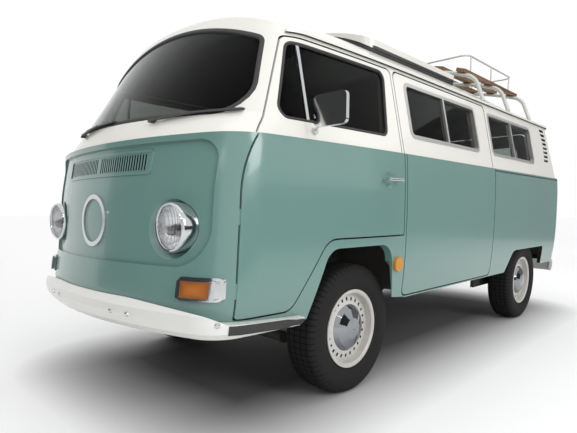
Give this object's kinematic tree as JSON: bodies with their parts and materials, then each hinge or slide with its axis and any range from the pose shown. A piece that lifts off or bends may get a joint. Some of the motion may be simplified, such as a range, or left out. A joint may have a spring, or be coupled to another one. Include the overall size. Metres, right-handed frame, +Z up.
{
  "type": "camper van",
  "caption": "One-box camper van with a rear engine, sliding side door, rising roof and a slatted roof rack on hoops.",
  "frame": {"origin": "on the ground, under the centre of the overall length and width", "axes": "+X the van's left, -Y its front, +Z up"},
  "size_m": [2.0234, 4.4196, 2.051],
  "materials": {
    "paint_green": "gloss, faded",
    "paint_cream": "gloss, faded",
    "wheel_paint": "gloss",
    "tyre": "matte",
    "glass": "clear",
    "chrome": "polished",
    "amber_lens": "gloss",
    "red_lens": "gloss",
    "aluminium": "satin",
    "black_metal": "satin",
    "black_plastic": "matte",
    "seat_cloth": "woven",
    "cabinet_wood": "satin",
    "underbody": "matte",
    "axle_steel": "satin",
    "engine_metal": "dull",
    "rack_steel": "satin",
    "rack_wood": "oiled"
  },
  "bodies": {
    "van_body": {"nose_panel": "paint_green", "roof_panel": "paint_cream", "side_panel_left": "paint_green", "side_panel_right": "paint_green", "rear_panel": "paint_green", "sliding_door": "paint_green", "floor_pan": "underbody", "body_glass": "glass", "side_window_frames": "aluminium", "fresh_air_grille": "paint_green", "nose_ring": "chrome", "headlights": "chrome", "turn_signals": "amber_lens", "tail_lamps": "red_lens", "wipers": "black_metal", "front_bumper": "paint_cream", "rear_bumper": "paint_cream", "dashboard": "black_plastic", "front_seats": "seat_cloth", "rear_bench": "seat_cloth", "cabinet": "cabinet_wood", "front_axle": "axle_steel", "rear_axle": "axle_steel", "engine_block": "engine_metal", "rack_frame": "rack_steel", "rack_slats": "rack_wood"},
    "left_knuckle": {"knuckle_left": "axle_steel"},
    "right_knuckle": {"knuckle_right": "axle_steel"},
    "front_left_wheel": {"wheel_front_left": "wheel_paint", "tyre_front_left": "tyre"},
    "front_right_wheel": {"wheel_front_right": "wheel_paint", "tyre_front_right": "tyre"},
    "rear_left_wheel": {"wheel_rear_left": "wheel_paint", "tyre_rear_left": "tyre"},
    "rear_right_wheel": {"wheel_rear_right": "wheel_paint", "tyre_rear_right": "tyre"},
    "left_cab_door": {"cab_door_left": "paint_green", "cab_door_glass_left": "glass", "cab_door_fittings_left": "chrome"},
    "right_cab_door": {"cab_door_right": "paint_green", "cab_door_glass_right": "glass", "cab_door_fittings_right": "chrome"},
    "rear_gate": {"tailgate": "paint_cream", "tailgate_glass": "glass"},
    "engine_cover": {"engine_lid": "paint_green"},
    "raised_roof": {"rising_roof": "paint_cream"},
    "hand_wheel": {"steering_wheel": "black_plastic"}
  },
  "joints": [
    {"name": "left_knuckle_steer", "type": "hinge", "parent": "van_body", "child": "left_knuckle", "pos_m": [0.592, -1.175, 0.322], "axis": [0, 0, 1], "range_deg": [-30, 30]},
    {"name": "right_knuckle_steer", "type": "hinge", "parent": "van_body", "child": "right_knuckle", "pos_m": [-0.592, -1.175, 0.322], "axis": [0, 0, 1], "range_deg": [-30, 30]},
    {"name": "hand_wheel_turn", "type": "hinge", "parent": "van_body", "child": "hand_wheel", "pos_m": [-0.42, -1.605, 1.165], "axis": [0, 0.5299, 0.848], "range_deg": [-450, 450]},
    {"name": "front_left_wheel_spin", "type": "hinge", "parent": "left_knuckle", "child": "front_left_wheel", "pos_m": [0.692, -1.175, 0.322], "axis": [1, 0, 0], "continuous": true},
    {"name": "front_right_wheel_spin", "type": "hinge", "parent": "right_knuckle", "child": "front_right_wheel", "pos_m": [-0.692, -1.175, 0.322], "axis": [1, 0, 0], "continuous": true},
    {"name": "rear_left_wheel_spin", "type": "hinge", "parent": "van_body", "child": "rear_left_wheel", "pos_m": [0.713, 1.225, 0.322], "axis": [1, 0, 0], "continuous": true},
    {"name": "rear_right_wheel_spin", "type": "hinge", "parent": "van_body", "child": "rear_right_wheel", "pos_m": [-0.713, 1.225, 0.322], "axis": [1, 0, 0], "continuous": true},
    {"name": "left_cab_door_hinge", "type": "hinge", "parent": "van_body", "child": "left_cab_door", "pos_m": [0.77975, -1.94233, 0.6], "axis": [0.007, 0.0662, 0.9978], "range_deg": [-70, 0]},
    {"name": "right_cab_door_hinge", "type": "hinge", "parent": "van_body", "child": "right_cab_door", "pos_m": [-0.77975, -1.94233, 0.6], "axis": [-0.007, 0.0662, 0.9978], "range_deg": [0, 70]},
    {"name": "rear_gate_hinge", "type": "hinge", "parent": "van_body", "child": "rear_gate", "pos_m": [0, 2.01435, 1.6445], "axis": [1, 0, 0], "range_deg": [0, 85]},
    {"name": "engine_cover_hinge", "type": "hinge", "parent": "van_body", "child": "engine_cover", "pos_m": [0, 2.11221, 1.0735], "axis": [1, 0, 0], "range_deg": [0, 70]},
    {"name": "raised_roof_hinge", "type": "hinge", "parent": "van_body", "child": "raised_roof", "pos_m": [0, -0.781, 1.957], "axis": [1, 0, 0], "range_deg": [0, 32]}
  ],
  "couplings": [
    {"joint": "right_knuckle_steer", "follows": "left_knuckle_steer", "ratio": 1},
    {"joint": "hand_wheel_turn", "follows": "left_knuckle_steer", "ratio": 15}
  ]
}
